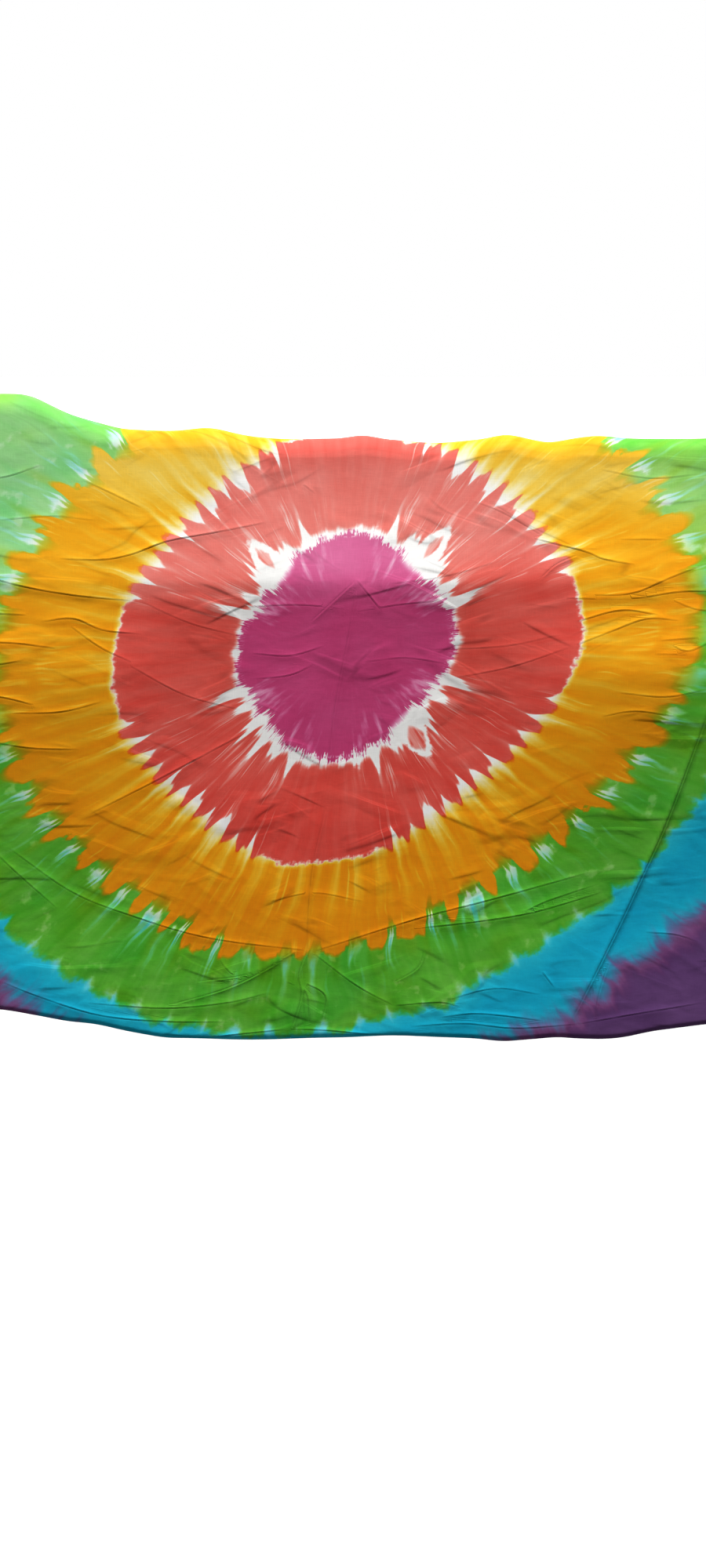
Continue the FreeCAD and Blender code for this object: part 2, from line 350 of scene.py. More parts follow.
# The long crease on the right: the cloth to its right lies deeper.
RIGHT_CREASE = [
    (447, -50), (439, -79), (424, -132), (397, -226), (374, -291), (351, -353), (321, -425), (293, -491)
]
RIGHT_CREASE_STRENGTH = 1.40
FULL_CREST = 4.0  # a crease of this height is drawn at strength 1


def smooth_line(points, steps=6):
    """A smooth line in metres through points in millimetres."""
    points = np.array(points, float) * MM
    ends = np.vstack([2 * points[0] - points[1], points, 2 * points[-1] - points[-2]])
    line = []
    for a, b, c, d in zip(ends, ends[1:], ends[2:], ends[3:]):
        for t in np.arange(steps) / steps:
            bend = (2 * a - 5 * b + 4 * c - d) * t**2 + (3 * b - a - 3 * c + d) * t**3
            line.append(0.5 * (2 * b + (c - a) * t + bend))
    line.append(points[-1])
    return np.array(line)


def line_field(x, v, line):
    """For each place: distance from a line, its side (1 left, -1 right), and the share of it passed."""
    nearest = np.full(x.shape, 1e9)
    side = np.zeros(x.shape)
    passed = np.zeros(x.shape)
    runs = np.diff(line, axis=0)
    lengths = np.hypot(runs[:, 0], runs[:, 1])
    start = np.concatenate([[0.0], np.cumsum(lengths)])
    for point, run, length, before in zip(line, runs, lengths, start):
        dx = x - point[0]
        dv = v - point[1]
        share = np.clip((dx * run[0] + dv * run[1]) / length**2, 0, 1)
        away = np.hypot(dx - share * run[0], dv - share * run[1])
        closer = away < nearest
        nearest = np.where(closer, away, nearest)
        side = np.where(closer, np.sign(run[0] * dv - run[1] * dx), side)
        passed = np.where(closer, before + share * length, passed)
    return nearest, side, passed / start[-1]


def places_near(x, v, line, margin):
    """Which places are in the box that holds a line and a margin round it."""
    low = line.min(axis=0) - margin
    high = line.max(axis=0) + margin
    return (x > low[0]) & (x < high[0]) & (v > low[1]) & (v < high[1])


def crease_height(x, v):
    height = np.zeros_like(x)
    for points, crest, width, lean in CREASES:
        line = smooth_line(points)
        near = places_near(x, v, line, 6 * width * MM)
        away, side, passed = line_field(x[near], v[near], line)
        spread = 0.8 * width * MM * (1 - 0.6 * lean * side)
        taper = np.sin(math.pi * np.clip(passed, 0.02, 0.98)) ** 0.5
        sharp = np.exp(-(np.sqrt(away**2 + 0.0015**2) - 0.0015) / spread)
        trough = 0.25 * np.exp(-((away / (2.6 * spread)) ** 2))
        height[near] += 0.28 * crest * MM * taper * (sharp - trough)
    return height


def crease_lines(x, v):
    """For each place: signed distance from the crease that matters most there, and its strength."""
    distance = np.full_like(x, 0.05)
    strength = np.zeros_like(x)
    lines = [(points, crest / FULL_CREST) for points, crest, _, _ in CREASES]
    lines.append((RIGHT_CREASE, RIGHT_CREASE_STRENGTH))
    for points, depth in lines:
        line = smooth_line(points)
        near = places_near(x, v, line, 0.02)
        away, side, passed = line_field(x[near], v[near], line)
        taper = np.sin(math.pi * np.clip(passed, 0.0, 1.0)) ** 0.6
        here = depth * taper * np.exp(-((away / 0.007) ** 2))
        stronger = here > strength[near]
        distance[near] = np.where(stronger, away * side, distance[near])
        strength[near] = np.where(stronger, here, strength[near])
    return distance, strength


def right_crease_height(x, v):
    """A thin lip along the crease, and the cloth to its right lying deeper."""
    near = (x > 0.15) & (v < 0.1)
    height = np.zeros_like(x)
    away, side, passed = line_field(x[near], v[near], smooth_line(RIGHT_CREASE))
    taper = np.sin(math.pi * np.clip(passed, 0.01, 0.99)) ** 0.4
    across = away * side
    lip = 0.0011 * np.exp(-np.abs(across + 0.003) / 0.005)
    fall = -0.0015 * np.clip(across / 0.007, 0, 1) * np.exp(-np.clip(across, 0, 1) / 0.09)
    height[near] = taper * (lip + fall)
    return height


def broad_height(x, v):
    """The long gentle waves of cloth that is only held along its top."""
    down = RINGS_BELOW_HINGE - v
    wave = 0.0022 * gradient_noise(x * 5.5 + 3.1, v * 4.0 + 1.7, 31)
    wave += 0.0006 * gradient_noise(x * 13 + 8.3, v * 11 + 2.9, 32)
    hollow = -0.0022 * np.sin(math.pi * np.clip(-down / 0.15, 0, 1))
    recess = -0.0030 * np.sin(math.pi * np.clip(down / 0.30, 0, 1)) * np.exp(-((x / 0.20) ** 2))
    # left and right of the middle, and more so at the right, the cloth stands fuller below the bend
    fuller = np.clip(down / 0.12, 0, 1) * np.clip((0.46 - down) / 0.34, 0, 1)
    fuller = 0.0075 * fuller**2 * (3 - 2 * fuller) * (1 - np.exp(-((x / 0.26) ** 4)))
    fuller *= 1 + 0.8 * np.clip(x / 0.3, 0, 1)
    loose = np.clip((np.abs(x) - 0.50) / 0.26, 0, 1) ** 2
    ripple = 0.0050 * loose * gradient_noise(x * 4 + 9.1, v * 9.0 + 4.4, 33)
    return wave + hollow + recess + fuller + ripple


def drape(x, s):
    """Points on the cloth for two-dimensional grids of x and of s, the distance down the cloth."""
    v = RINGS_BELOW_HINGE - s
    y, z, side = base_section(x, s)
    height = broad_height(x, v) + wrinkle_height(x, v) + crease_height(x, v) + right_crease_height(x, v)
    # the ridge and the foot rest on the support, and are pulled smoother
    on_ridge = np.exp(-(((s - ridge_line(x)) / 0.035) ** 2))
    under = 1 / (1 + np.exp(-(s - tuck_hem_line(x) + 0.060) / 0.006))
    height *= (1 - 0.6 * on_ridge) * (1 - 0.6 * under)
    near_edge = np.clip((np.abs(x) - 0.70) / 0.062, 0, 1) ** 2
    wander = 0.0030 * near_edge * gradient_noise(x * 0 + 5.5, v * 11, 34)
    return np.stack([x + wander, y - height * np.cos(side), z - height * np.sin(side)], -1)


def outward(points):
    """The outward direction at each point of a grid whose rows run down the cloth."""
    down = np.gradient(points, axis=0)
    across = np.gradient(points, axis=1)
    normal = np.cross(down, across)
    return normal / np.maximum(np.linalg.norm(normal, axis=-1, keepdims=True), 1e-12)


# ==== the dye's place on the cloth ====
# The rings' upright axis isn't straight on the cloth as it hangs: (v, x of the axis).
AXIS_LOW = [(-0.70, -0.075), (-0.52, -0.068), (-0.40, -0.062), (-0.29, -0.036)]
AXIS = AXIS_LOW + [(-0.22, -0.028), (0.0, 0.0), (0.6, 0.01)]
TILT = 0.06
UPPER_STRETCH = 1.05


def dye_place(x, v):
    """Where a place on the hanging cloth is on the dyed pattern, which is the same in each quarter."""
    heights, middles = zip(*AXIS)
    p = x - np.interp(v, heights, middles)
    q = v - TILT * x
    return p, np.where(q > 0, q * UPPER_STRETCH, q)


# ==== meshes ====
SEEN_HALF = 0.47  # the mesh is finer out to here, a little past the photo's left and right edges
FINE_STEP = 0.0030
COARSE_STEP = 0.008


def new_object(name, points, faces):
    mesh = bpy.data.meshes.new(name)
    mesh.from_pydata(points.reshape(-1, 3).tolist(), [], faces)
    mesh.update()
    made = bpy.data.objects.new(name, mesh)
    bpy.context.scene.collection.objects.link(made)
    mesh.polygons.foreach_set("use_smooth", np.ones(len(mesh.polygons), bool))
    return made


def add_map(made, name, a, b):
    """A UV map that holds two numbers for each vertex."""
    corners = np.zeros(len(made.data.loops), int)
    made.data.loops.foreach_get("vertex_index", corners)
    values = np.stack([np.ravel(a), np.ravel(b)], -1)[corners]
    made.data.uv_layers.new(name=name).data.foreach_set("uv", values.astype(np.float32).ravel())


def grid_faces(rows, columns, closed=False):
    """Faces of a grid, facing outward; closed joins the last column to the first."""
    faces = []
    for i in range(rows - 1):
        for j in range(columns if closed else columns - 1):
            k = (j + 1) % columns
            faces.append((i * columns + j, (i + 1) * columns + j, (i + 1) * columns + k, i * columns + k))
    return faces


def spaced(start, end, step):
    return np.linspace(start, end, max(2, int(round(abs(end - start) / step)) + 1))


def cloth_columns():
    left = spaced(-HALF_WIDTH, -SEEN_HALF, COARSE_STEP)
    middle = spaced(-SEEN_HALF, SEEN_HALF, FINE_STEP)
    right = spaced(SEEN_HALF, HALF_WIDTH, COARSE_STEP)
    return np.concatenate([left[:-1], middle, right[1:]])


def cloth_rows(x):
    """Distances down the cloth, one column for each x, and the row of the ridge's top line."""
    sections = [
        (back_hem_line(x), ridge_line(x), 72),
        (ridge_line(x), np.zeros_like(x), 60),
        (np.zeros_like(x), front_length(x), 170),
        (front_length(x), front_length(x) + TUCK_ROUND * TUCK_TURN, 9),
        (front_length(x) + TUCK_ROUND * TUCK_TURN, tuck_hem_line(x), 12),
    ]
    rows = [start + (end - start) * i / count for start, end, count in sections for i in range(count)]
    rows.append(tuck_hem_line(x))
    return np.array(rows), sections[0][2]


def make_cloth():
    columns = cloth_columns()
    s, ridge_row = cloth_rows(columns)
    x = np.broadcast_to(columns, s.shape)
    points = drape(x, s)
    normals = outward(points)
    v = RINGS_BELOW_HINGE - s
    p, q = dye_place(x, v)
    distance, strength = crease_lines(x, v)
    made = []
    for name, rows in (("cloth_back", slice(0, ridge_row + 1)), ("cloth_front", slice(ridge_row, None))):
        part = points[rows]
        cloth = new_object(name, part, grid_faces(*part.shape[:2]))
        add_map(cloth, "dye", p[rows], q[rows])
        add_map(cloth, "weave", x[rows], v[rows])
        add_map(cloth, "crease", distance[rows], strength[rows])
        add_map(cloth, "ridge", (s - ridge_line(x))[rows], x[rows])
        cloth.data.normals_split_custom_set_from_vertices(normals[rows].reshape(-1, 3).tolist())
        made.append(cloth)
    return made


# A hem is the edge turned twice to the inside: (distance in from the edge, height out).
HEM_PROFILE = [
    (-0.3, -0.2), (0.1, 0.5), (1, 0.9), (4, 1), (8, 0.9), (11.2, 0.7), (13.2, 0.6), (14.1, 0.2),
    (14.1, -0.5), (13.4, -1.1), (11.2, -1.2), (7.5, -1.4), (3.5, -1.4), (0.8, -1.2), (-0.2, -0.8),
]
HEM_PROFILE_TOP = 0.0006  # about its height where the stitches are
HEM_WIDTH = 0.014
STITCH_FROM_EDGE = 0.0115
STITCH_STEP = 0.004
STITCH_LENGTH = 0.0029
STITCH_SIDES = 6
STITCH_ARCH = [0.0001, 0.00055, 0.0007, 0.00055, 0.0001]  # heights from end to end
STITCH_GIRTH = [0.00012, 0.00028, 0.0003, 0.00028, 0.00012]  # radii from end to end


def side_place(side):
    """Maps (distance in from a side edge, distance down the cloth) to (x, s)."""
    return lambda inward, along: (side * (HALF_WIDTH - inward), along)


def end_place(line, direction):
    """Maps (distance in from an end edge, x) to (x, s)."""
    return lambda inward, along: (along, line(along) + direction * inward)


def hem_surface(place, inward, along):
    """Points and outward directions on the cloth for a grid of inward columns and along rows."""
    grid_in, grid_along = np.meshgrid(inward, along)
    x, s = place(grid_in, grid_along)
    points = drape(x, s)
    normals = outward(points)
    side = base_section(x, s)[2]
    reference = np.stack([np.zeros_like(side), -np.cos(side), -np.sin(side)], -1)
    normals *= np.where((normals * reference).sum(-1, keepdims=True) < 0, -1, 1)
    return points, normals, x, s


def fix_facing(made):
    """Turns every face of a closed mesh outward."""
    shape = bmesh.new()
    shape.from_mesh(made.data)
    bmesh.ops.recalc_face_normals(shape, faces=shape.faces)
    shape.to_mesh(made.data)
    shape.free()


def make_hem(name, place, start, end, seed):
    """A rounded, slightly puckered hem, closed all round and at its ends."""
    along = spaced(start, end, FINE_STEP)
    inward, heights = np.array(HEM_PROFILE).T * MM
    points, normals, x, s = hem_surface(place, inward, along)
    v = RINGS_BELOW_HINGE - s
    pucker = 1 + 0.30 * gradient_noise(along / 0.011, along * 0 + 0.5, seed)
    lift = 0.0003 * gradient_noise(along / 0.034, along * 0 + 2.5, seed + 1)
    points = points + normals * (heights * pucker[:, None] + lift[:, None])[..., None]
    rows, columns = points.shape[:2]
    faces = grid_faces(rows, columns, closed=True)
    faces.append(tuple(range(columns)))
    faces.append(tuple(reversed(range((rows - 1) * columns, rows * columns))))
    hem = new_object(name, points, faces)
    fix_facing(hem)
    add_map(hem, "dye", *dye_place(x, v))
    add_map(hem, "weave", x, v)
    add_map(hem, "ridge", s - ridge_line(x), x)
    return hem


def make_stitches(name, place, start, end):
    """A row of single stitches on the outside of a hem, each sunk at both ends."""
    count = int(abs(end - start) / STITCH_STEP)
    middles = start + (end - start) * (np.arange(count) + 0.5) / count
    rings = len(STITCH_ARCH)
    shares = np.linspace(-0.5, 0.5, rings)
    along = (middles[:, None] + shares * STITCH_LENGTH * np.sign(end - start)).ravel()
    inward = STITCH_FROM_EDGE + np.array([-1, 0, 1]) * MM
    points, normals, _, _ = hem_surface(place, inward, along)
    normals = normals[:, 1]
    across = points[:, 2] - points[:, 0]
    across /= np.linalg.norm(across, axis=-1, keepdims=True)
    arch = np.tile(np.array(STITCH_ARCH) + HEM_PROFILE_TOP, count)[:, None]
    centre = points[:, 1] + normals * arch
    radius = np.tile(STITCH_GIRTH, count)[:, None, None]
    ring = np.arange(STITCH_SIDES)[None, :, None] * math.pi * 2 / STITCH_SIDES
    round_about = np.cos(ring) * across[:, None] + np.sin(ring) * normals[:, None]
    pattern = grid_faces(rings, STITCH_SIDES, closed=True)
    pattern.append(tuple(range(STITCH_SIDES)))
    pattern.append(tuple(rings * STITCH_SIDES - 1 - i for i in range(STITCH_SIDES)))
    firsts = range(0, count * rings * STITCH_SIDES, rings * STITCH_SIDES)
    faces = [tuple(first + corner for corner in face) for first in firsts for face in pattern]
    made = new_object(name, centre[:, None] + radius * round_about, faces)
    fix_facing(made)
    return made


# ==== node arithmetic ====
def plug(tree, value, socket):
    """Sets a socket from a Field, a socket or a constant."""
    if isinstance(value, Field):
        value = value.socket
    if isinstance(value, bpy.types.NodeSocket):
        tree.links.new(value, socket)
    else:
        socket.default_value = value


def set_inputs(tree, node, inputs):
    """Sets inputs from a dict by socket, or from values for the first sockets in turn."""
    for socket, value in inputs.items() if isinstance(inputs, dict) else enumerate(inputs):
        plug(tree, value, node.inputs[socket])


def add_node(tree, kind, inputs=(), **settings):
    node = tree.nodes.new(kind)
    for setting, value in settings.items():
        setattr(node, setting, value)
    set_inputs(tree, node, inputs)
    return node


class Field:
    """A number that varies over a surface: a node socket with arithmetic that adds Math nodes."""

    def __init__(self, tree, socket):
        self.tree = tree
        self.socket = socket

    def apply(self, operation, *others):
        node = add_node(self.tree, "ShaderNodeMath", (self, *others), operation=operation)
        return Field(self.tree, node.outputs[0])

    __add__ = __radd__ = partialmethod(apply, "ADD")
    __sub__ = partialmethod(apply, "SUBTRACT")
    __rsub__ = partialmethod(apply, "MULTIPLY_ADD", -1.0)
    __mul__ = __rmul__ = partialmethod(apply, "MULTIPLY")
    __truediv__ = partialmethod(apply, "DIVIDE")
    __pow__ = partialmethod(apply, "POWER")
    __abs__ = partialmethod(apply, "ABSOLUTE")
    least = partialmethod(apply, "MINIMUM")
    most = partialmethod(apply, "MAXIMUM")

    def without(self, other, share=1.0):
        """This, with a share of it taken away where the other is 1."""
        return self * (1.0 - other * share)

    def rising(self, low, high):
        """0 below low, 1 above high, smooth between; falling if low is above high."""
        limits = (self, low, high, 0.0, 1.0)
        node = add_node(self.tree, "ShaderNodeMapRange", limits, interpolation_type="SMOOTHSTEP")
        return Field(self.tree, node.outputs[0])


def noise(a, b, scale=1.0, detail=0.0, seed=0.0):
    """Smooth noise from 0 to 1 at (a, b)."""
    place = add_node(a.tree, "ShaderNodeCombineXYZ", (a, b, seed))
    inputs = {"Vector": place.outputs[0], "Scale": scale, "Detail": detail}
    return Field(a.tree, add_node(a.tree, "ShaderNodeTexNoise", inputs).outputs[0])


def chance(cell, seed):
    """One random number from 0 to 1 for each whole number."""
    node = add_node(cell.tree, "ShaderNodeTexWhiteNoise", noise_dimensions="1D")
    plug(cell.tree, cell + seed, node.inputs["W"])
    return Field(cell.tree, node.outputs["Value"])


def split_fields(tree, vector):
    """The three numbers of a vector socket, as Fields."""
    parts = add_node(tree, "ShaderNodeSeparateXYZ", (vector,))
    return [Field(tree, socket) for socket in parts.outputs]


def map_fields(tree, name):
    """The two numbers that a UV map holds, as Fields."""
    return split_fields(tree, add_node(tree, "ShaderNodeUVMap", uv_map=name).outputs[0])[:2]


# ==== the tie-dye ====
def linear(colour):
    """A colour of 0 to 255 as a screen shows it, as linear light."""
    return [(c / 255 / 12.92) if c <= 10 else ((c / 255 + 0.055) / 1.055) ** 2.4 for c in colour]


def absorbed(colour):
    """How strongly a dye at full strength takes out red, green and blue."""
    return [-math.log(max(c, 0.002)) for c in linear(colour)]


BARE = (250, 249, 246)
MAGENTA = absorbed((203, 66, 122))
RED = absorbed((228, 84, 74))
ORANGE = absorbed((242, 158, 10))
GREEN = absorbed((96, 186, 54))
TURQUOISE = absorbed((4, 170, 210))
PURPLE = absorbed((98, 62, 116))

# How far from the middle each ring ends, in metres.
MAGENTA_END = 0.134
RED_END = 0.286
ORANGE_END = 0.426
GREEN_END = 0.512
TURQUOISE_END = 0.588
PURPLE_END = 0.86
# Pleats in each quarter turn that make the points, the wedges, the fingers and the lobes.
POINTS = 9.28
WEDGES = 17.0
FINGERS = 12.5
LOBES = 18.0
# The red drop in a white loop: the share of the quarter turn, and the distance out.
DROP_TURN = 0.5556
DROP_REACH = 0.151


def beats(turn, count, first):
    """Pleats round a quarter: the number of the nearest one, and how far off its middle, 0 to 0.5."""
    wander = noise(turn, turn, 23.0, 0.0, first * 7) * 0.7
    position = (turn - first) * count + wander - 0.35
    nearest = (position + 0.5).apply("FLOOR")
    return nearest, abs(position - nearest)


def kite(across, along, width, inward, out):
    """1 in the middle of a kite-shaped spot, 0 at its rim."""
    return 1.0 - (across / width + (along / out).most(along * -1.0 / inward))


def spike(off, width, power=1.0):
    """1 at a pleat's middle and 0 from width off it; a power above 1 makes its sides hollow."""
    return (1.0 - off / width).most(0.0) ** power


class DyePlace:
    """A place on the dyed pattern, and the noises there that all the rings share.

    turn goes from 0 at the side to 1 straight up or down, and diagonal is 1 halfway between. Each
    ring's function leaves here what the next rings need."""

    def __init__(self, p, q):
        self.p = p
        self.q = q
        side = abs(p)
        up = abs(q)
        uneven = noise(p, q, 13.0, 2.0, 1.0) - 0.5
        self.fine = noise(p, q, 140.0, 3.0, 2.0) - 0.5
        self.reach = (side * side + up * up).apply("SQRT") + uneven * 0.016 + self.fine * 0.0050
        drift = (noise(p, q, 20.0, 1.0, 3.0) - 0.5) * 0.024
        self.turn = up.apply("ARCTAN2", side) * (2 / math.pi) + drift
        self.upright = (up / self.reach) ** 2.0
        self.diagonal = self.upright * (1.0 - self.upright) * 4.0
        self.streak = self.rayed(62.0, 9.0, 2.0, 4.0)
        self.sway = self.streak - 0.5
        self.jitter = self.rayed(170.0, 16.0, 2.0, 5.0) - 0.5
        self.blotch = noise(p, q, 17.0, 3.0, 6.0)
        self.rays = self.rayed(34.0, 7.0, 3.0, 9.0)
        broken = self.rayed(18.0, 26.0, 1.0, 15.0).rising(0.40, 0.62)
        self.scratches = self.rayed(105.0, 9.0, 2.0, 13.0).rising(0.555, 0.70) * broken

    def rayed(self, round_about, outward_too, detail, seed):
        """Noise in rays, which changes faster round the rings than outward."""
        return noise(self.turn * round_about, self.reach * outward_too, 1.0, detail, seed)


def magenta_ring(at):
    """Magenta, which ends in small teeth, and in white points that reach out on the diagonals."""
    at.past_magenta = at.reach - (MAGENTA_END + at.upright * 0.012 - at.diagonal * 0.012)
    pleat, off_pleat = beats(at.turn, POINTS, DROP_TURN)
    size = (chance(pleat, 3.0) * 0.6 + 0.5) * at.diagonal.rising(0.05, 0.60)
    teeth = at.jitter * (at.diagonal * 0.022 + 0.018) + at.fine * 0.012
    patchy = at.rayed(26.0, 4.0, 1.0, 14.0).rising(0.40, 0.66)
    ragged = (at.rayed(44.0, 3.0, 1.0, 17.0) - 0.5) * at.diagonal * 0.040
    inner = spike(off_pleat, 0.50, 0.8) * size * 0.006 + patchy * 0.0060 + ragged + 0.0005
    outer = spike(off_pleat + at.sway * 0.36, 0.44, 1.2) * size * 0.042 + patchy * 0.0045 + 0.0012
    in_loop, in_drop = white_loop(at)
    red_starts = (at.past_magenta - outer - teeth * 0.25).rising(-0.0035, 0.0045)
    at.red_starts = red_starts.without(in_loop).most(in_drop)
    points = spike(off_pleat + at.sway * 0.5, 0.34) * size * 0.075
    at.pink = (at.past_magenta - points).rising(0.018, -0.022) * 0.45
    magenta = (at.past_magenta + inner + teeth).rising(0.0022, -0.0022)
    magenta = magenta.without(in_loop * at.past_magenta.rising(-0.020, -0.004))
    # a lace of tiny white loops along its edge, and paler lilac patches inside it
    lace = abs(at.rayed(70.0, 80.0, 0.0, 18.0) - 0.5).rising(0.080, 0.030)
    lace = lace * at.past_magenta.rising(-0.011, -0.005) * (at.upright.rising(0.35, 0.85) * 0.7 + 0.3)
    lilac = at.rayed(16.0, 22.0, 3.0, 8.0).rising(0.48, 0.70)
    lilac = lilac * at.past_magenta.rising(-0.070, -0.012) * at.diagonal.rising(0.0, 0.4)
    magenta = magenta.without(lace, 0.85).without(lilac, 0.62)
    return magenta * (0.82 + at.blotch * 0.30 + at.streak * 0.06)


def white_loop(at):
    """A drop of red in a white loop, in each quarter but the lower left: (loop, drop)."""
    out = at.reach - DROP_REACH
    off = abs(at.turn - DROP_TURN) * at.reach * (math.pi / 2)
    narrowing = (out * 16.0 + 1.0).most(0.5)
    lower = at.q.rising(0.02, -0.02)
    present = 1.0 - lower * at.p.rising(0.01, -0.01)
    loop = (out / 0.036) ** 2.0 + (off * narrowing / 0.0165) ** 2.0
    along = abs(out - 0.003) / (lower * 0.002 + 0.0165)
    across = ((off + at.fine * 0.004) / (lower * 0.004 + 0.0058)).most(0.0)
    drop = (along**1.3 + across**1.3).rising(1.30, 0.70)
    return (loop + at.fine * 0.8).rising(1.20, 0.75) * present, drop * present


def red_ring(at):
    """Red, which ends in tips with white wedges between them."""
    at.past_red = at.reach - (RED_END - at.upright * 0.004 - at.diagonal * 0.023)
    wedge, at.off_wedge = beats(at.turn, WEDGES, 0.3038)
    at.wedged = at.diagonal.rising(0.16, 0.42)
    at.wedge_size = (chance(wedge, 11.0) * 0.7 + 0.50) * at.wedged
    at.off_edge = (at.off_wedge + at.sway * 0.16 + at.jitter * 0.10 + at.fine * 0.16).most(0.0)
    depth = spike(at.off_edge, 0.37, 0.85) * at.wedge_size * 0.027
    depth = depth + spike(at.off_edge, 0.50) * at.wedged * 0.008
    at.red_line = at.past_red + depth - at.wedged * 0.0115 + 0.0035 + at.fine * 0.010 + at.jitter * 0.006
    red = at.red_starts * at.red_line.rising(0.0010, -0.0050)
    strokes = spike((at.off_wedge + at.sway * 0.35).most(0.0), 0.26) * at.wedge_size
    stroke = (at.past_red + strokes * 0.065).rising(-0.020, 0.030) * at.streak.rising(0.30, 0.60)
    faded = at.rays.rising(0.50, 0.76) * at.past_magenta.rising(0.110, 0.010) * at.diagonal.rising(0.0, 0.5)
    red = red.without(stroke, 0.34).without(at.pink).without(faded, 0.46)
    red = red.without(at.scratches * at.diagonal.rising(0.05, 0.55), 0.70)
    return red * (0.62 + at.blotch * 0.36 + at.rays * 0.42)


def orange_ring(at):
    """Orange, which starts white and yellow and ends in rounded fingers with pale flames between."""
    yellow_reach = spike(at.off_edge, 0.50, 0.9) * at.wedge_size * 0.040 + 0.0035
    orange = at.red_line.rising(at.wedged * -0.004 - 0.003, at.wedged * -0.002 + 0.003)
    orange = orange * at.past_red.rising(at.wedged * -0.009 - 0.007, yellow_reach)
    at.past_base = at.reach - (ORANGE_END - at.upright * 0.026 - at.diagonal * 0.024)
    finger, at.off_finger = beats(at.turn, FINGERS, 0.2111)
    fingered = at.diagonal.rising(0.02, 0.35) * 0.75 + 0.25
    cap = (1.0 - ((at.off_finger + at.fine * 0.05) / 0.255) ** 2.0).most(0.0) ** 0.5
    finger_end = (cap * (chance(finger, 23.0) * 0.012 + 0.026) - 0.014) * fingered
    at.past_orange = at.past_base - finger_end
    at.soft = at.off_finger.rising(0.30, 0.42) * 0.012 + at.upright.rising(0.55, 0.10) * 0.0028 + 0.0030
    size = noise(at.turn * 31.0, at.turn, 1.0, 0.0, 30.0).rising(0.25, 0.62) * 0.6 + 0.5
    off_flame = abs(at.off_finger - 0.42 + at.jitter * 0.10)
    flame = kite(off_flame, at.past_base - 0.001, size * 0.050 + 0.072, 0.019, size * 0.018 + 0.011)
    at.flame = (flame + at.fine * 0.40).rising(0.0, 0.55) * (fingered - 0.02)
    yellow = spike((at.off_wedge + at.sway * 0.45).most(0.0), 0.34) * at.past_red.rising(0.125, 0.0)
    orange = orange * at.past_orange.rising(at.soft, at.soft * -1.0)
    orange = orange.without(at.flame, 0.95).without(yellow, 0.42).without(at.scratches, 0.40)
    return orange * (0.62 + at.blotch * 0.40 + at.streak * 0.42)


def green_ring(at):
    """Green, which ends in low lobes with pale gaps."""
    upper_stretch = at.q.rising(0.08, 0.22) * 0.045
    at.past_line = at.reach - (GREEN_END - at.upright * 0.004 - at.diagonal * 0.006 + upper_stretch)
    lobe, off_lobe = beats(at.turn, LOBES, 0.04)
    lobe_end = (1.0 - (off_lobe / 0.52) ** 2.0) * (chance(lobe, 37.0) * 0.008 + 0.008) - 0.006
    at.past_green = at.past_line - lobe_end + at.sway * 0.022 + at.fine * 0.008
    gap = kite(0.5 - off_lobe, at.past_line + 0.002, 0.32, 0.024, 0.020)
    gap = (gap + at.fine * 0.5 + at.sway * 0.8).rising(0.05, 0.90)
    at.gap = gap * noise(at.turn * 40.0, at.turn, 1.0, 0.0, 41.0).rising(0.25, 0.50)
    tail = at.rayed(80.0, 11.0, 2.0, 10.0).rising(0.54, 0.74)
    at.tail = tail * at.past_base.rising(0.0, 0.020) * at.past_base.rising(0.095, 0.020)
    # a pale line runs out from most of the gaps between the orange fingers
    line = at.past_base.rising(-0.004, 0.010) * at.past_base.rising(0.075, 0.015)
    line = line * at.off_finger.rising(0.39, 0.47)
    at.gap_line = line * at.rayed(45.0, 18.0, 1.0, 43.0).rising(0.34, 0.54)
    splash = noise(at.p, at.q, 34.0, 4.0, 12.0).rising(0.60, 0.70)
    green = at.past_orange.rising(at.soft * -1.5, at.soft * 1.4) * at.past_green.rising(0.008, -0.007)
    green = green.without(at.flame, 0.90).without(at.tail, 0.62).without(at.gap, 0.75)
    green = green.without(at.gap_line, 0.66).without(splash, 0.36)
    return green * (0.52 + at.blotch * 0.44 + at.streak * 0.50)


def green_tints(at, green):
    """Where the green leans to olive, also just past the orange fingers, and where to blue."""
    hue = noise(at.p, at.q, 11.0, 2.0, 16.0)
    beside = at.past_orange.rising(0.055, 0.0) * at.past_orange.rising(-0.002, 0.002)
    olive = hue.rising(0.50, 0.70) * green * 0.9 + beside * at.off_finger.rising(0.28, 0.05)
    return olive, hue.rising(0.50, 0.30) * green


def outer_rings(at):
    """Turquoise with its haze in the pale spots, purple, and magenta round the purple."""
    past_turquoise = at.reach - TURQUOISE_END - at.p * 0.056 + at.sway * 0.060 + at.jitter * 0.010
    past_turquoise = past_turquoise + (at.rays - 0.5) * 0.060
    turquoise = at.past_green.rising(-0.008, 0.010) * past_turquoise.rising(0.018, -0.040)
    turquoise = turquoise.without(at.gap, 0.60).without(at.past_line.rising(0.045, 0.0), 0.35)
    turquoise = turquoise * (0.62 + at.blotch * 0.40 + at.streak * 0.26)
    haze = at.flame * at.past_base.rising(-0.012, 0.025) * 0.19
    haze = haze + at.tail * 0.18 + at.gap * 0.08 + at.gap_line * 0.15
    past_purple = at.reach - PURPLE_END + at.sway * 0.08
    purple = past_turquoise.rising(-0.020, 0.034) * past_purple.rising(0.03, -0.03)
    again = past_purple.rising(-0.03, 0.04) * (0.8 + at.blotch * 0.3)
    fringe = past_turquoise.rising(-0.034, 0.0) * past_turquoise.rising(0.040, 0.004)
    return turquoise + haze, purple * (0.85 + at.blotch * 0.3), again + fringe * 0.24


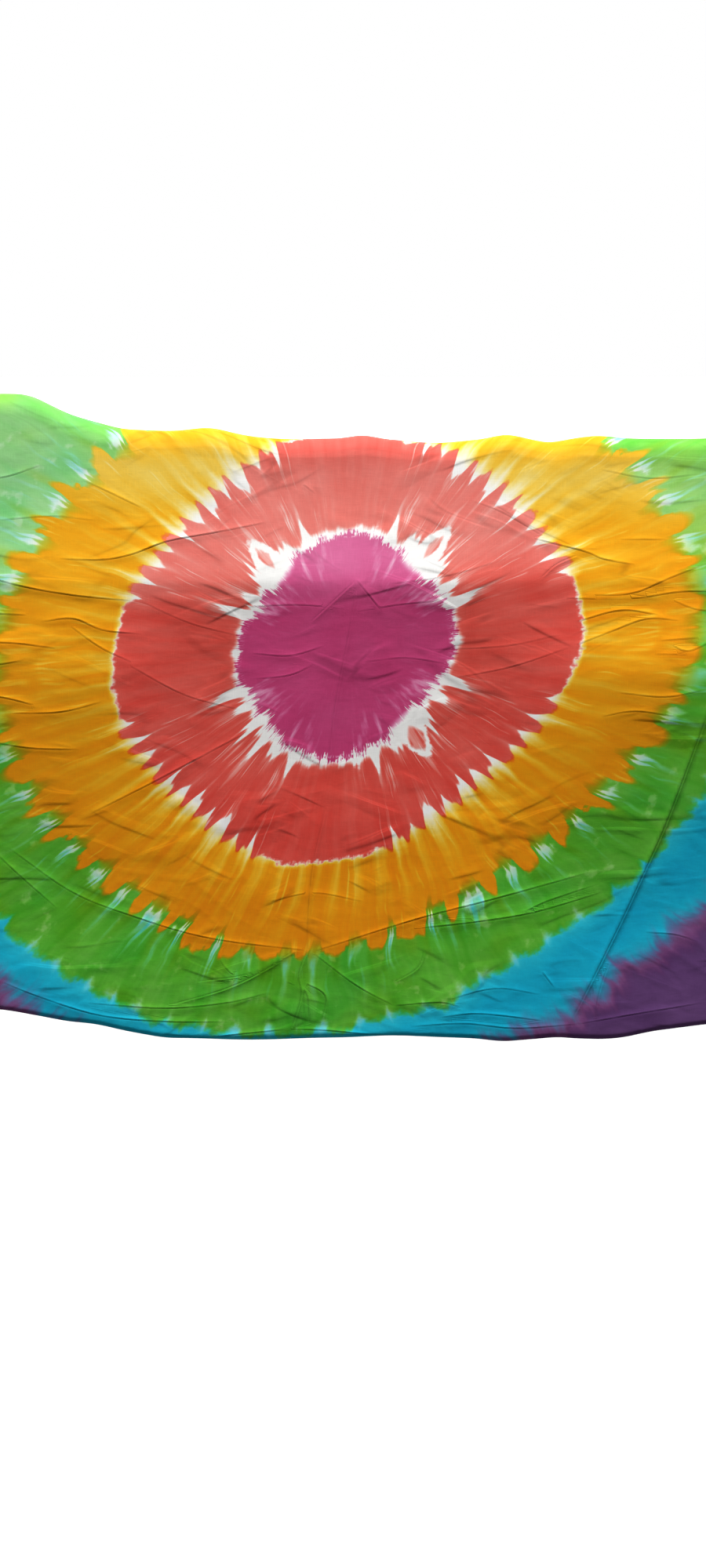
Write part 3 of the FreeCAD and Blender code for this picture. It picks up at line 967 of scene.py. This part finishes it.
def dye_layers(p, q, from_ridge):
    """The strength of each dye at a place on the pattern, with the band's painted highlight and shade in
    it, as (absorbed colour, Field) pairs.
    """
    at = DyePlace(p, q)
    magenta = magenta_ring(at)
    red = red_ring(at)
    orange = orange_ring(at)
    green = green_ring(at)
    olive, bluer = green_tints(at, green)
    turquoise, purple, outer_magenta = outer_rings(at)
    # painted highlight: every dye is paler on the band above the bend, and less so near the ridge's top,
    # which is painted shade against the top light there; the lowest part of the front is darker
    band_painted_highlight = q.rising(0.04, 0.12) * (from_ridge.rising(0.0, 0.056) * 0.8 + 0.2)
    paled_by_highlight = 1.0 - band_painted_highlight * 0.35
    deeper = q.rising(-0.05, -0.34)
    # the orange's painted highlight is strongest on the band's upper part; the band's lower part is left
    # darker, as painted shade
    orange_paled_by_highlight = 1.0 + deeper * 0.06 - band_painted_highlight * (from_ridge.rising(0.13, 0.05) * 0.75 + 0.25) * 0.35
    minty = q.rising(0.04, 0.12) * p.rising(-0.20, -0.36)
    return [
        (MAGENTA, (magenta + outer_magenta) * (paled_by_highlight + deeper * 0.10)),
        (RED, red * (paled_by_highlight + deeper * 0.13)),
        (ORANGE, (orange + olive * 0.16) * orange_paled_by_highlight * orange_paled_by_highlight),
        (GREEN, green * paled_by_highlight**1.4 * (1.0 - minty * 0.28 + deeper * 0.07)),
        (TURQUOISE, (turquoise + bluer * 0.06) * paled_by_highlight + minty * green * 0.05),
        (PURPLE, purple * paled_by_highlight),
    ]


def dye_group():
    """A node group from a place on the pattern, and its distance from the ridge, to the dyed colour with
    its painted highlight and shade.
    """
    tree = bpy.data.node_groups.new("tie_dye", "ShaderNodeTree")
    sockets = (("Place", "INPUT", "Vector"), ("From Ridge", "INPUT", "Float"), ("Color", "OUTPUT", "Color"))
    for name, direction, kind in sockets:
        tree.interface.new_socket(name, in_out=direction, socket_type=f"NodeSocket{kind}")
    entry = add_node(tree, "NodeGroupInput")
    p, q, _ = split_fields(tree, entry.outputs[0])
    layers = dye_layers(p, q, Field(tree, entry.outputs[1]))
    channels = []
    for channel, bare in enumerate(linear(BARE)):
        parts = [strength * absorption[channel] for absorption, strength in layers]
        total = sum(parts[1:], parts[0])
        channels.append((total * -1.0).apply("EXPONENT") * bare)
    mixed = add_node(tree, "ShaderNodeCombineColor", channels)
    add_node(tree, "NodeGroupOutput", (mixed.outputs[0],))
    return tree


# ==== materials ====
THREAD_PITCH = 0.0006  # from one thread of the weave to the next
THREAD_DARK = (205, 198, 186)
THREAD_LIGHT = (240, 236, 226)
WHITE = (1.0, 1.0, 1.0, 1.0)
# Directions of the thin creases, in degrees, with a seed, and whether they are strongest at the sides.
CREASE_FAMILIES = [(1.0, 51.0, True), (22.0, 55.0, False), (-24.0, 59.0, False)]


def new_material(name):
    """A new material, its node tree and its shader."""
    material = bpy.data.materials.new(name)
    material.use_nodes = True
    return material, material.node_tree, material.node_tree.nodes["Principled BSDF"]


def mixed_colour(tree, share, first, second, blend="MIX"):
    inputs = {0: share, 6: first, 7: second}
    return add_node(tree, "ShaderNodeMix", inputs, data_type="RGBA", blend_type=blend).outputs[2]


def bump_normal(tree, height, distance, strength):
    inputs = {"Height": height, "Distance": distance, "Strength": strength}
    return add_node(tree, "ShaderNodeBump", inputs).outputs[0]


def weave(x, v):
    """A plain weave's height, 0 to 1, and its slubs: thicker places in single threads."""
    warp = (x * (math.pi / THREAD_PITCH)).apply("SINE")
    weft = (v * (math.pi / THREAD_PITCH)).apply("SINE")
    slub_warp = noise(x, v * 0.035, 1700.0, 1.0, 1.0)
    slub_weft = noise(x * 0.035, v, 1700.0, 1.0, 2.0)
    return (warp * weft) * 0.5 + 0.5, slub_warp.most(slub_weft)


def creasing(tree, x, v):
    """Thin crisp creases: (painted shade inside them, the height they add in metres)."""
    distance, strength = map_fields(tree, "crease")
    strength = strength * (noise(x, v, 38.0, 1.0, 49.0) * 1.6 + 0.1)
    line = ((abs(distance) * -1 / 0.0011).apply("EXPONENT") * strength).least(1.0)
    beside = ((abs(distance - 0.0022) * -1 / 0.0022).apply("EXPONENT") * strength).least(1.0)
    # painted shade along the crease line
    dark = line * 0.46
    height = beside * 0.0012 - line * 0.0008
    sides = abs(x).rising(0.16, 0.36)
    for degrees, seed, at_sides in CREASE_FAMILIES:
        along, across = turned(x, v, degrees)
        level = noise(along * 6.0, across * 34.0, 1.0, 1.0, seed)
        shown = noise(along * 9.0, across * 16.0, 1.0, 1.0, seed + 2.0).rising(0.52, 0.66)
        shown = shown * (sides if at_sides else 1.0 - sides * 0.6)
        thin = abs(level - 0.5).rising(0.030, 0.0) * shown
        # painted shade along the thin creases too
        dark = dark + thin * 0.22
        height = height + (level - 0.5).rising(-0.06, 0.06) * shown * 0.0010
    return dark.least(0.6), height


def cotton(name, group, bump, creased):
    """Dyed plain-weave cotton: dull, with the weave, slubs and fine creasing in its bump, and, where
    creased, painted shade along the creases in its colour.
    """
    material, tree, shader = new_material(name)
    place = add_node(tree, "ShaderNodeUVMap", uv_map="dye").outputs[0]
    # the distance from the ridge's top line places the dye's painted highlight and shade
    from_ridge, _ = map_fields(tree, "ridge")
    dyed = add_node(tree, "ShaderNodeGroup", node_tree=group)
    set_inputs(tree, dyed, (place, from_ridge))
    x, v = map_fields(tree, "weave")
    over, slubs = weave(x, v)
    crumpled = noise(x, v * 1.6, 22.0, 3.0, 3.0)
    crinkle = noise(x * 0.6, v, 150.0, 3.0, 4.0)
    shade = 0.92 + slubs.rising(0.35, 0.75) * 0.10 - over * 0.03
    height = over * 0.00006 + slubs * 0.00008 + crumpled * 0.0007 + crinkle * 0.00018
    if creased:
        dark, folds = creasing(tree, x, v)
        # the creases' painted shade darkens the colour
        shade = shade * (1.0 - dark)
        height = height + folds
    grey = add_node(tree, "ShaderNodeCombineColor", (shade, shade, shade)).outputs[0]
    looks = {
        "Base Color": mixed_colour(tree, 1.0, dyed.outputs[0], grey, "MULTIPLY"),
        "Normal": bump_normal(tree, height, 1.0, bump),
        "Roughness": slubs * 0.12 + 0.80,
        "Sheen Weight": 0.03,
        "Sheen Roughness": 0.5,
        "Specular IOR Level": 0.12,
    }
    set_inputs(tree, shader, looks)
    return material


def thread():
    """Undyed sewing thread, twisted."""
    material, tree, shader = new_material("sewing_thread")
    x, y, z = split_fields(tree, add_node(tree, "ShaderNodeTexCoord").outputs["Object"])
    twist = ((x + y + z) * 9000.0).apply("SINE") * 0.5 + 0.5
    # painted shade: the colour is darker in the twist's grooves and lighter on its strands, over a random
    # tone
    tone_and_twist_shade = noise(x + y, z, 90.0, 2.0, 5.0) * 0.6 + twist * 0.4
    dark = (*linear(THREAD_DARK), 1)
    light = (*linear(THREAD_LIGHT), 1)
    looks = {
        "Base Color": mixed_colour(tree, tone_and_twist_shade, dark, light),
        "Normal": bump_normal(tree, twist, 0.0001, 1.0),
        "Roughness": 0.55,
        "Sheen Weight": 0.15,
    }
    set_inputs(tree, shader, looks)
    return material


# ==== putting it together ====
INNER_HALF = HALF_WIDTH - HEM_WIDTH
END_OVERLAP = 0.0005  # of an end hem over the side hems
STITCHES_SHORT = 0.004  # how far a side row of stitches stops before the cloth's end


def finish_piece(piece, material):
    piece.data.materials.clear()
    piece.data.materials.append(material)


def cross_front_hinge(piece):
    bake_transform(piece)


def cross_back_hinge(piece):
    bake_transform(piece)


dye = dye_group()
cloth_cotton = cotton("dyed_cotton", dye, 0.6, True)
hem_cotton = cotton("hem_cotton", dye, 0.85, False)
white_thread = thread()

cloth_back, cloth_front = make_cloth()
finish_piece(cloth_front, cloth_cotton)
finish_piece(cloth_back, cloth_cotton)
cross_front_hinge(cloth_front)
cross_back_hinge(cloth_back)
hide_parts("ridge_panel", "front_band", "front_panel", "tuck_panel")
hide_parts("back_panel")

front_trim = []
back_trim = []
for side_name, side in (("left", -1), ("right", 1)):
    edge = np.array(side * HALF_WIDTH)
    top = float(ridge_line(edge))
    foot = float(tuck_hem_line(edge))
    end = float(back_hem_line(edge))
    place = side_place(side)
    front_hem = make_hem(f"hem_front_{side_name}", place, top, foot, 50 + side)
    back_hem = make_hem(f"hem_back_{side_name}", place, end, top, 60 + side)
    front_row = make_stitches(f"stitches_front_{side_name}", place, top, foot - STITCHES_SHORT)
    back_row = make_stitches(f"stitches_back_{side_name}", place, end + STITCHES_SHORT, top)
    for piece in (front_hem, back_hem):
        finish_piece(piece, hem_cotton)
    for piece in (front_row, back_row):
        finish_piece(piece, white_thread)
    for piece in (front_hem, front_row):
        cross_front_hinge(piece)
    for piece in (back_hem, back_row):
        cross_back_hinge(piece)
    front_nodes = [f"{zone}_{side_name}_hem" for zone in ("ridge", "front_band", "front", "tuck")]
    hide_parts(*front_nodes)
    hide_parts(f"back_{side_name}_hem")
    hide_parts(f"ridge_{side_name}_stitching", f"front_{side_name}_stitching")
    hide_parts(f"back_{side_name}_stitching")
    front_trim += [front_hem, front_row]
    back_trim += [back_hem, back_row]

for end_name, line, direction, body, trim in (
    ("tuck_end", tuck_hem_line, -1, "front_drop", front_trim),
    ("back_end", back_hem_line, 1, "back_drop", back_trim),
):
    place = end_place(line, direction)
    half = INNER_HALF + END_OVERLAP
    hem = make_hem(f"hem_{end_name}", place, -half, half, 70 + direction)
    row = make_stitches(f"stitches_{end_name}", place, -INNER_HALF, INNER_HALF)
    finish_piece(hem, hem_cotton)
    finish_piece(row, white_thread)
    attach(hem, body)
    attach(row, body)
    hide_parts(f"{end_name}_hem")
    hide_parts(f"{end_name}_stitching")
    trim += [hem, row]


# ==== floor, light and camera ====
def pale_floor():
    """A wide floor that looks white without throwing its light back up at the cloth."""
    floor_z = CAD_BOX[0].z - FLOOR_DROP
    signs = ((-1, -1), (1, -1), (1, 1), (-1, 1))
    points = np.array([(a * FLOOR_HALF, b * FLOOR_HALF, floor_z) for a, b in signs])
    floor = new_object("floor", points, [(0, 1, 2, 3)])
    material, tree, shader = new_material("pale_floor")
    place = add_node(tree, "ShaderNodeTexCoord").outputs["Object"]
    grain = add_node(tree, "ShaderNodeTexNoise", {"Scale": 3.0, "Vector": place}).outputs[0]
    looks = {
        "Base Color": mixed_colour(tree, grain, (0.38, 0.38, 0.38, 1.0), (0.42, 0.42, 0.42, 1.0)),
        "Roughness": 0.9,
        "Emission Color": WHITE,
        "Emission Strength": FLOOR_GLOW,
    }
    set_inputs(tree, shader, looks)
    floor.data.materials.append(material)
    floor.visible_diffuse = False
    floor.visible_glossy = False


def sun(name, elevation, azimuth, strength, softness):
    """A distant light; azimuth 0 is from the front, and positive from the right."""
    data = bpy.data.lights.new(name, "SUN")
    data.energy = strength
    data.angle = math.radians(softness)
    lamp = bpy.data.objects.new(name, data)
    bpy.context.scene.collection.objects.link(lamp)
    lamp.rotation_euler = (math.pi / 2 - elevation, 0.0, azimuth)


def white_room(above, below):
    """White light, weaker from above and stronger from the pale floor; the room looks pure white."""
    world = bpy.data.worlds.new("white_room")
    bpy.context.scene.world = world
    world.use_nodes = True
    tree = world.node_tree
    tree.nodes.clear()
    upward = split_fields(tree, add_node(tree, "ShaderNodeTexCoord").outputs["Generated"])[2]
    strength = upward.rising(0.20, -0.20) * (below - above) + above
    lit = add_node(tree, "ShaderNodeBackground", {"Color": WHITE, "Strength": strength}).outputs[0]
    seen = add_node(tree, "ShaderNodeBackground", {"Color": WHITE, "Strength": 1.0}).outputs[0]
    to_camera = add_node(tree, "ShaderNodeLightPath").outputs["Is Camera Ray"]
    mixed = add_node(tree, "ShaderNodeMixShader", (to_camera, lit, seen)).outputs[0]
    add_node(tree, "ShaderNodeOutputWorld", (mixed,))


def make_camera():
    data = bpy.data.cameras.new("camera")
    data.lens = CAMERA_LENS
    data.sensor_width = CAMERA_SENSOR
    camera = bpy.data.objects.new("camera", data)
    bpy.context.scene.collection.objects.link(camera)
    camera.location = CAMERA_PLACE
    camera.rotation_euler = (math.pi / 2 - CAMERA_DOWN, 0.0, 0.0)
    bpy.context.scene.camera = camera


pale_floor()
sun("key_light", KEY_ELEVATION, 0.0, KEY_STRENGTH, KEY_SOFTNESS)
sun("back_light", BACK_ELEVATION, math.pi, BACK_STRENGTH, BACK_SOFTNESS)
white_room(ROOM_ABOVE, ROOM_BELOW)
make_camera()
bpy.context.scene.view_settings.view_transform = "Standard"


def corners(box):
    return [[float(c) for c in corner] for corner in box]
